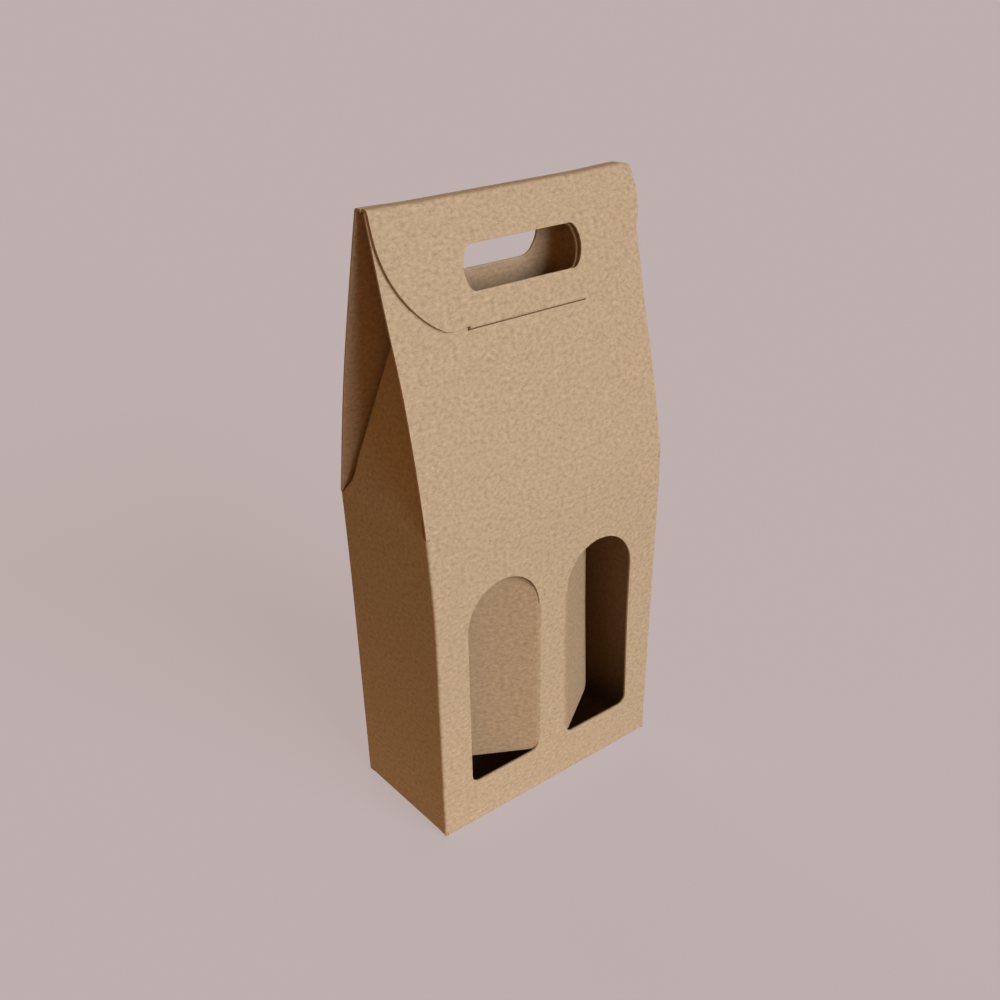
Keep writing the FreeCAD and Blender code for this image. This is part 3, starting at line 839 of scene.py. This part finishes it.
def placed(name, data):
    """Object in the scene that holds a mesh, a light or a camera."""
    thing = bpy.data.objects.new(name, data)
    bpy.context.scene.collection.objects.link(thing)
    return thing


def mark_folds(mesh, flat, fold, starts, edge_points):
    """How sharply the sheet bends near each point, for the wear along its folds."""
    bend = np.zeros(len(flat))
    for axis in (0, 1):
        shift = np.zeros(2)
        shift[axis] = FOLD_REACH
        a = fold(flat + shift)[1]
        b = fold(flat - shift)[1]
        bend = np.maximum(bend, np.arccos(np.clip((a * b).sum(1), -1, 1)) / (math.pi / 2))
    values = np.zeros(starts[-1])
    values[:starts[1]] = bend
    values[starts[-2]:] = bend
    for k in range(1, len(RINGS) - 1):
        values[starts[k]:starts[k + 1]] = bend[edge_points]
    mesh.attributes.new("fold", "FLOAT", "POINT").data.foreach_set("value", np.clip(values, 0, 1))


def mark_rims(mesh):
    """Keep the shading of the faces apart from that of the cut edges."""
    kinds = {}
    for polygon in mesh.polygons:
        for key in polygon.edge_keys:
            kinds.setdefault(key, set()).add(polygon.material_index)
    mesh.edges.foreach_set("use_edge_sharp", [len(kinds[edge.key]) > 1 for edge in mesh.edges])


# Materials


def tree(name):
    material = bpy.data.materials.new(name)
    material.use_nodes = True
    nodes = material.node_tree.nodes
    nodes.clear()
    return material, nodes, material.node_tree.links


def noise(nodes, links, vector, scale, detail, stretch=(1, 1, 1)):
    mapping = nodes.new("ShaderNodeMapping")
    mapping.inputs["Scale"].default_value = stretch
    links.new(vector, mapping.inputs["Vector"])
    texture = nodes.new("ShaderNodeTexNoise")
    texture.inputs["Scale"].default_value = scale
    texture.inputs["Detail"].default_value = detail
    texture.inputs["Roughness"].default_value = 0.6
    links.new(mapping.outputs["Vector"], texture.inputs["Vector"])
    return texture.outputs["Fac"]


def ramp(nodes, links, value, low, high, dark, light):
    """Grey value spread between two positions to two levels."""
    node = nodes.new("ShaderNodeMapRange")
    node.inputs["From Min"].default_value = low
    node.inputs["From Max"].default_value = high
    node.inputs["To Min"].default_value = dark
    node.inputs["To Max"].default_value = light
    links.new(value, node.inputs["Value"])
    return node.outputs["Result"]


def multiply(nodes, links, a, b):
    node = nodes.new("ShaderNodeMath")
    node.operation = "MULTIPLY"
    links.new(a, node.inputs[0])
    links.new(b, node.inputs[1])
    return node.outputs["Value"]


def added(nodes, links, a, b, share):
    node = nodes.new("ShaderNodeMath")
    node.operation = "MULTIPLY_ADD"
    node.inputs[1].default_value = share
    links.new(b, node.inputs[0])
    links.new(a, node.inputs[2])
    return node.outputs["Value"]


def mixed(nodes, links, share, a, b):
    """Colour between two, by a share."""
    node = nodes.new("ShaderNodeMix")
    node.data_type = "RGBA"
    node.inputs[6].default_value = (*a, 1)
    node.inputs[7].default_value = (*b, 1)
    links.new(share, node.inputs[0])
    return node.outputs[2]


def scaled(nodes, links, colour, shade):
    node = nodes.new("ShaderNodeVectorMath")
    node.operation = "SCALE"
    links.new(colour, node.inputs[0])
    links.new(shade, node.inputs["Scale"])
    return node.outputs[0]


def attribute(nodes, name):
    node = nodes.new("ShaderNodeAttribute")
    node.attribute_name = name
    return node


def layer(nodes, links, vector, look):
    """A noise on the sheet, and the shade that it gives."""
    grain = noise(nodes, links, vector, *look[0])
    return grain, ramp(nodes, links, grain, *look[1])


def kraft(name, colour, warm, painted_foot_shade):
    """Uncoated kraft liner: cloudy stock, short fibres along the sheet, flecks, folds worn lighter, and,
    below a foot level of 1, painted shade that darkens it towards the foot of the walls.
    """
    material, nodes, links = tree(name)
    vector = attribute(nodes, "sheet_place").outputs["Vector"]
    split = nodes.new("ShaderNodeSeparateXYZ")
    links.new(vector, split.inputs[0])
    # Painted shade: the colour falls from full at the shoulder to the foot level at the bottom of the walls
    # and below
    shade = ramp(nodes, links, split.outputs["Y"], 0.0, SHOULDER_Z, painted_foot_shade, 1.0)
    layers = [layer(nodes, links, vector, look) for look in (CLOUDS, MOTTLE, FIBRES, CROSS_FIBRES, FLECKS)]
    for _, level in layers:
        shade = multiply(nodes, links, shade, level)
    mottle, fibres, cross_fibres = (grain for grain, _ in layers[1:4])
    worn = ramp(nodes, links, mottle, *WORN_LEVELS)
    worn = multiply(nodes, links, attribute(nodes, "fold").outputs["Fac"], worn)
    shade = added(nodes, links, shade, worn, FOLD_WEAR)
    tint = mixed(nodes, links, ramp(nodes, links, mottle, *WARM_LEVELS), colour, warm)
    height = added(nodes, links, fibres, mottle, MOTTLE_HEIGHT)
    height = added(nodes, links, height, cross_fibres, CROSS_FIBRE_HEIGHT)
    finish(nodes, links, scaled(nodes, links, tint, shade), height, *LINER_BUMP)
    return material


def cut_board(name, colour):
    """Cut edge: pressed layers along the board, furred by the knife."""
    material, nodes, links = tree(name)
    vector = attribute(nodes, "sheet_place").outputs["Vector"]
    _, pressed = layer(nodes, links, vector, CUT_LAYERS)
    fur, furred = layer(nodes, links, vector, CUT_FUR)
    tint = nodes.new("ShaderNodeRGB")
    tint.outputs[0].default_value = (*colour, 1)
    shade = multiply(nodes, links, pressed, furred)
    finish(nodes, links, scaled(nodes, links, tint.outputs[0], shade), fur, *CUT_BUMP)
    return material


def finish(nodes, links, colour, height, distance, strength):
    """Matt surface of a colour, with a fine relief."""
    bumped = nodes.new("ShaderNodeBump")
    bumped.inputs["Strength"].default_value = strength
    bumped.inputs["Distance"].default_value = distance
    links.new(height, bumped.inputs["Height"])
    shader = nodes.new("ShaderNodeBsdfPrincipled")
    shader.inputs["Roughness"].default_value = ROUGHNESS
    shader.inputs["Specular IOR Level"].default_value = SPECULAR
    links.new(colour, shader.inputs["Base Color"])
    links.new(bumped.outputs["Normal"], shader.inputs["Normal"])
    output = nodes.new("ShaderNodeOutputMaterial")
    links.new(shader.outputs["BSDF"], output.inputs["Surface"])


# Floor, light and camera


def emission(nodes, colour):
    node = nodes.new("ShaderNodeEmission")
    node.inputs["Color"].default_value = (*colour, 1)
    return node


def bounce(nodes, links, diffuse):
    """What the floor sends to the object: its own colour, and soft light from beside the box."""
    place = nodes.new("ShaderNodeTexCoord")
    distance = nodes.new("ShaderNodeVectorMath")
    distance.operation = "DISTANCE"
    distance.inputs[1].default_value = NEAR_LIGHT_PLACE
    links.new(place.outputs["Object"], distance.inputs[0])
    near_light = emission(nodes, NEAR_LIGHT)
    links.new(ramp(nodes, links, distance.outputs["Value"], *NEAR_LIGHT_REACH, 1.0, 0.0),
              near_light.inputs["Strength"])
    both = nodes.new("ShaderNodeAddShader")
    links.new(diffuse.outputs[0], both.inputs[0])
    links.new(near_light.outputs[0], both.inputs[1])
    return both


def floor_paper():
    """Floor with the background's colour and a faint shadow to the camera, and a warmer one to the object."""
    material, nodes, links = tree("floor_paper")
    to_camera = nodes.new("ShaderNodeLightPath").outputs["Is Camera Ray"]
    diffuse = nodes.new("ShaderNodeBsdfDiffuse")
    links.new(mixed(nodes, links, to_camera, FLOOR_BOUNCE, FLOOR_COLOUR), diffuse.inputs["Color"])
    view = nodes.new("ShaderNodeMixShader")
    view.inputs[0].default_value = FLOOR_GLOW
    links.new(diffuse.outputs[0], view.inputs[1])
    links.new(emission(nodes, FLOOR_GLOW_COLOUR).outputs[0], view.inputs[2])
    both = nodes.new("ShaderNodeMixShader")
    links.new(to_camera, both.inputs[0])
    links.new(bounce(nodes, links, diffuse).outputs[0], both.inputs[1])
    links.new(view.outputs[0], both.inputs[2])
    output = nodes.new("ShaderNodeOutputMaterial")
    links.new(both.outputs[0], output.inputs["Surface"])
    return material


def floor():
    half = FLOOR_HALF
    low = FLOOR_Z
    mesh = bpy.data.meshes.new("floor")
    mesh.from_pydata([(-half, -half, low), (half, -half, low), (half, half, low), (-half, half, low)], [],
                     [(0, 1, 2, 3)])
    mesh.materials.append(floor_paper())
    placed("floor", mesh)


def world():
    """Plain surroundings: the background's colour to the camera, soft fill light to the object."""
    surroundings = bpy.data.worlds.new("studio")
    bpy.context.scene.world = surroundings
    surroundings.use_nodes = True
    nodes = surroundings.node_tree.nodes
    links = surroundings.node_tree.links
    nodes.clear()
    to_camera = nodes.new("ShaderNodeLightPath").outputs["Is Camera Ray"]
    background = nodes.new("ShaderNodeBackground")
    links.new(mixed(nodes, links, to_camera, FILL, BACKGROUND), background.inputs["Color"])
    output = nodes.new("ShaderNodeOutputWorld")
    links.new(background.outputs[0], output.inputs["Surface"])


def sun(name, towards, strength, colour, spread):
    """Distant light that stands in a direction and is some degrees wide."""
    light = bpy.data.lights.new(name, "SUN")
    light.energy = strength
    light.color = colour
    light.angle = math.radians(spread)
    lamp = placed(name, light)
    lamp.rotation_mode = "QUATERNION"
    lamp.rotation_quaternion = Vector(towards).to_track_quat("Z", "Y")


def camera():
    """Camera at the photograph's place and angle, from its yaw, pitch and roll."""
    yaw, pitch, roll = (math.radians(a) for a in CAMERA_ANGLES)
    forward = Vector((math.sin(yaw) * math.cos(pitch), math.cos(yaw) * math.cos(pitch), -math.sin(pitch)))
    level = Vector((math.cos(yaw), -math.sin(yaw), 0))
    upright = level.cross(forward)
    right = level * math.cos(roll) + upright * math.sin(roll)
    up = upright * math.cos(roll) - level * math.sin(roll)
    data = bpy.data.cameras.new("photo_camera")
    data.sensor_width = SENSOR_WIDTH
    data.lens = CAMERA_FOCAL / IMAGE_SIZE * data.sensor_width
    data.shift_x = 0.5 - CAMERA_CENTRE[0] / IMAGE_SIZE
    data.shift_y = CAMERA_CENTRE[1] / IMAGE_SIZE - 0.5
    data.clip_start = 0.01
    viewer = placed("photo_camera", data)
    viewer.matrix_world = Matrix((right, up, -forward)).transposed().to_4x4()
    viewer.location = CAMERA_PLACE
    bpy.context.scene.camera = viewer


# Pieces


def carton_zones():
    """Net lines of each wall: round the walls, and up its own folds."""
    left = -grid_lines(LEFT_WALLS)[::-1]
    right = grid_lines(RIGHT_WALLS)
    around = np.concatenate([left, right[1:]])
    front_v = grid_lines(FRONT_PATH, FRONT_V0)
    walls_top = V_SHOULDER - BESIDE_FOLD
    upright = front_v[(front_v > 0) & (front_v < walls_top)]

    def between(low, high):
        return around[(around >= low - NEAR) & (around <= high + NEAR)]

    def panel_lines(path, v0):
        own = grid_lines(path, v0)
        return np.concatenate([own[own < NEAR], upright, own[own > walls_top]])
    side_v = panel_lines(SIDE_PATH, SIDE_V0)
    return [(between(-HALF_WIDTH, HALF_WIDTH), front_v), (between(U_SIDE, U_RIGHT_END), side_v),
            (between(-U_LEFT_END, -U_SIDE), side_v),
            (between(-U_BACK_END, -U_BACK), panel_lines(BACK_PATH, BACK_V0)),
            (between(U_FRONT, U_SIDE), upright), (between(-U_SIDE, -U_FRONT), upright),
            (between(-U_BACK, -U_LEFT_END), upright), (between(U_RIGHT_END, U_TAB_END), upright)]


def even_lines(low, high, spacing=GRID):
    return np.linspace(low, high, math.ceil((high - low) / spacing) + 1)


def on_window_seam(flat):
    """Which places lie where a window flap goes on from the front panel."""
    x, v = np.abs(flat[:, 0]), flat[:, 1]
    fold_low = WINDOW_BOTTOM_Z + WINDOW_CORNER - WALL_LOW
    ends = (np.abs(v - ARCH_V) < NEAR) | (np.abs(v - fold_low) < NEAR)
    beside = (x > WINDOW_SEAM_X - NEAR) & (x < WINDOW_INNER_X - NEAR)
    return (np.abs(x - WINDOW_SEAM_X) < NEAR) | (ends & beside)


def carton_seams(flat):
    return (flat[:, 1] > V_BACK_TOP - NEAR) | on_window_seam(flat)


def dress(piece, node, outer):
    """Give a piece its three materials, and hide the model's part that it replaces."""
    for material in (outer, INNER, CUT):
        piece.data.materials.append(material)
    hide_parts(node)


def carton():
    net = flat_net(carton_parts(), carton_holes(), carton_zones())
    piece = sheet("carton_shell", net, fold_carton, carton_seams)
    dress(piece, "carton_body", OUTER)
    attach(piece, "carton")


def handle():
    zones = [(even_lines(-FLAP_HALF_WIDTH, FLAP_HALF_WIDTH), grid_lines(FLAP_PATH))]
    hole = hand_hole(HOLE_TOP, HOLE_HEIGHT, HOLE_EDGE_HALF, HOLE_BULGE, HOLE_CORNER)
    net = flat_net([handle_part()], [shifted(hole, 0, FLAP_W0)], zones)
    piece = sheet("handle_flap_card", net, fold_handle, lambda flat: flat[:, 1] < NEAR)
    dress(piece, "handle_flap", OUTER)
    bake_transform(piece)


def window_flap(name, node, side, angle, twist):
    outline = window_outline(WINDOW_CUT_GAP)
    path = window_path(angle)
    x_lines = grid_lines(path) + WINDOW_SEAM_X
    v_lines = even_lines(WINDOW_BOTTOM_Z - WALL_LOW, WINDOW_TOP_Z - WALL_LOW)
    if side < 0:
        outline = mirror(outline)
        x_lines = -x_lines[::-1]
    net = flat_net([outline], [], [(x_lines, v_lines)])
    piece = sheet(name, net, fold_window(side, angle, twist), on_window_seam)
    dress(piece, node, OUTER_PAINTED_SHADE)
    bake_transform(piece)


OUTER = kraft("kraft_liner_outside", (0.545, 0.402, 0.260), (0.505, 0.378, 0.250), 1.0)
# Window flaps: the outer liner in a darker, warmer copy, painted shade for the recess that they are turned
# into
OUTER_PAINTED_SHADE = kraft("kraft_liner_window_flaps_painted_shade", (0.472, 0.328, 0.199), (0.437, 0.308, 0.191), 1.0)
INNER = kraft("kraft_liner_inside", (0.500, 0.345, 0.215), (0.465, 0.322, 0.200), INSIDE_PAINTED_SHADE_AT_FOOT)
CUT = cut_board("kraft_cut_edge", (0.56, 0.41, 0.28))
carton()
handle()
window_flap("window_flap_left_card", "window_flap_left", -1, LEFT_WINDOW_ANGLE, 0.0)
window_flap("window_flap_right_card", "window_flap_right", 1, RIGHT_WINDOW_ANGLE,
            RIGHT_WINDOW_TWIST)
floor()
world()
sun("key_light", (0.15, -0.94, 0.27), 2.78, (0.914, 0.99, 1.035), 44)
sun("side_light", (-0.60, -0.80, 0.06), 0.43, (1.0, 0.49, 0.15), 40)
sun("back_light", (0.35, 0.90, 0.12), 1.25, (1.0, 0.87, 0.66), 60)
camera()
scene = bpy.context.scene
scene.view_settings.view_transform = "Standard"
